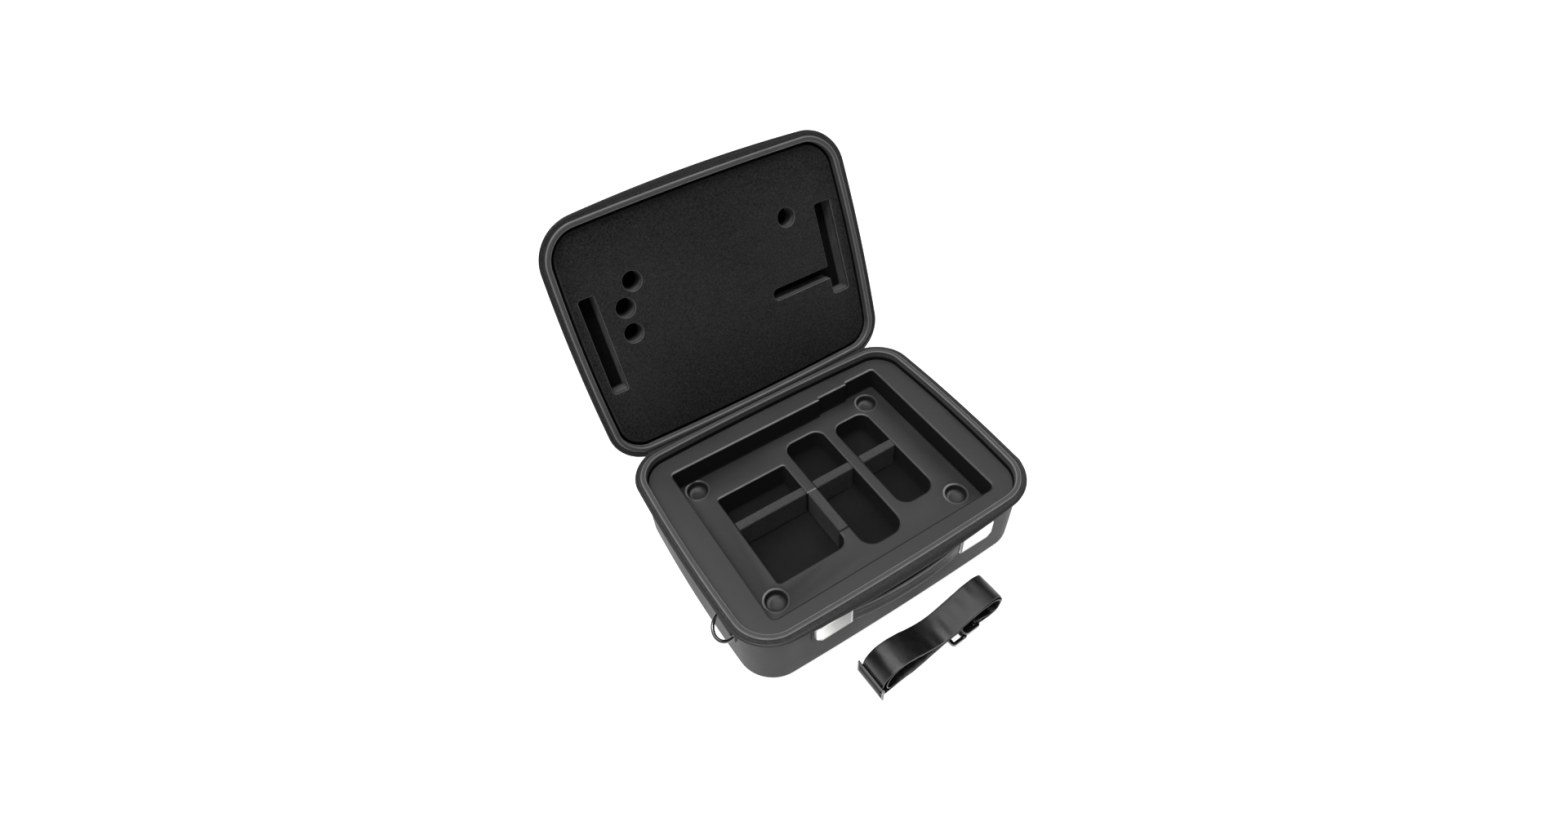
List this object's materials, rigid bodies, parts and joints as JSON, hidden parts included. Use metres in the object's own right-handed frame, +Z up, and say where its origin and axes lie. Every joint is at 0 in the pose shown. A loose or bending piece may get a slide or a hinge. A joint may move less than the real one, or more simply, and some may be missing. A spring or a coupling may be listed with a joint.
{
  "type": "miniature carry case",
  "caption": "Soft-cornered zipped carry case with a moulded tray of divided compartments, a foam-lined lid, a banded handle and a folded shoulder strap.",
  "frame": {"origin": "centre of the case's flat underside", "axes": "+X to the right along the hinge, +Y to the back where the lid is hinged, +Z up out of the base"},
  "size_m": [0.399, 0.4968, 0.3456],
  "materials": {
    "shell": "matte",
    "bead": "matte",
    "tape": "matte",
    "teeth": "satin",
    "tray": "matte",
    "divider": "matte",
    "pad": "matte",
    "cap": "satin",
    "grip": "satin",
    "felt": "matte",
    "webbing": "satin",
    "steel": "polished"
  },
  "bodies": {
    "base": {"base_shell": "shell", "base_bead": "bead", "base_tape": "tape", "base_teeth": "teeth", "hinge_strip": "tape", "zip_tails": "tape", "tray": "tray", "handle_pads": "pad", "cap_left": "cap", "cap_right": "cap", "grip_end_left": "grip", "grip_end_right": "grip", "tab_left": "tape", "tab_right": "tape"},
    "lid": {"lid_shell": "shell", "lid_bead": "bead", "lid_tape": "tape", "lid_teeth": "teeth", "lid_foam": "felt"},
    "divider_left": {"divider_left": "divider"},
    "divider_mid": {"divider_mid": "divider"},
    "divider_right": {"divider_right": "divider"},
    "divider_front": {"divider_front": "divider"},
    "grip": {"grip": "grip"},
    "ring_left": {"ring_left": "steel"},
    "ring_right": {"ring_right": "steel"},
    "slider_left": {"slider_left": "steel"},
    "slider_right": {"slider_right": "steel"},
    "pull_left": {"pull_left": "steel"},
    "pull_right": {"pull_right": "steel"},
    "strap": {"strap_webbing": "webbing", "strap_slide": "steel", "hook_low": "steel", "hook_high": "steel"},
    "gate_low": {"gate_low": "steel"},
    "gate_high": {"gate_high": "steel"}
  },
  "joints": [
    {"name": "lid_hinge", "type": "hinge", "parent": "base", "child": "lid", "pos_m": [0, 0.1397, 0.08725], "axis": [-1, 0, 0], "range_deg": [-112.8, 37], "deforming": ["hinge_strip"]},
    {"name": "divider_left_lift", "type": "slide", "parent": "base", "child": "divider_left", "axis": [0, 0, 1], "range_m": [0, 0.06]},
    {"name": "divider_mid_lift", "type": "slide", "parent": "base", "child": "divider_mid", "axis": [0, 0, 1], "range_m": [0, 0.06]},
    {"name": "divider_right_lift", "type": "slide", "parent": "base", "child": "divider_right", "axis": [0, 0, 1], "range_m": [0, 0.06]},
    {"name": "divider_front_lift", "type": "slide", "parent": "base", "child": "divider_front", "axis": [0, 0, 1], "range_m": [0, 0.06]},
    {"name": "grip_pull", "type": "slide", "parent": "base", "child": "grip", "axis": [0, -1, 0], "range_m": [0, 0.018], "stiffness_N_per_m": 250},
    {"name": "ring_left_swing", "type": "hinge", "parent": "base", "child": "ring_left", "pos_m": [-0.18319, -0.0885, 0.086], "axis": [0, -1, 0], "range_deg": [-75, 45]},
    {"name": "slider_left_run", "type": "slide", "parent": "base", "child": "slider_left", "axis": [-0.9995, -0.0302, 0], "range_m": [0, 0.023]},
    {"name": "pull_left_swing", "type": "hinge", "parent": "slider_left", "child": "pull_left", "pos_m": [-0.11212, 0.14216, 0.08125], "axis": [-0.9995, -0.0302, 0], "range_deg": [-50, 0]},
    {"name": "ring_right_swing", "type": "hinge", "parent": "base", "child": "ring_right", "pos_m": [0.18319, -0.0885, 0.086], "axis": [0, 1, 0], "range_deg": [-75, 45]},
    {"name": "slider_right_run", "type": "slide", "parent": "base", "child": "slider_right", "axis": [0.9995, -0.0302, 0], "range_m": [0, 0.023]},
    {"name": "pull_right_swing", "type": "hinge", "parent": "slider_right", "child": "pull_right", "pos_m": [0.11212, 0.14216, 0.08125], "axis": [-0.9995, 0.0302, 0], "range_deg": [-50, 0]},
    {"name": "strap_lift", "type": "slide", "parent": "base", "child": "strap", "axis": [0, 0, 1], "range_m": [0, 0.15]},
    {"name": "gate_low_swing", "type": "hinge", "parent": "strap", "child": "gate_low", "pos_m": [0.00867, -0.19096, 0.0042], "axis": [0, 0, -1], "range_deg": [0, 25], "stiffness_Nm_per_rad": 0.002, "springref_deg": -5.73},
    {"name": "gate_high_swing", "type": "hinge", "parent": "strap", "child": "gate_high", "pos_m": [0.02565, -0.19027, 0.0105], "axis": [0, 0, -1], "range_deg": [0, 25], "stiffness_Nm_per_rad": 0.002, "springref_deg": -5.73}
  ]
}
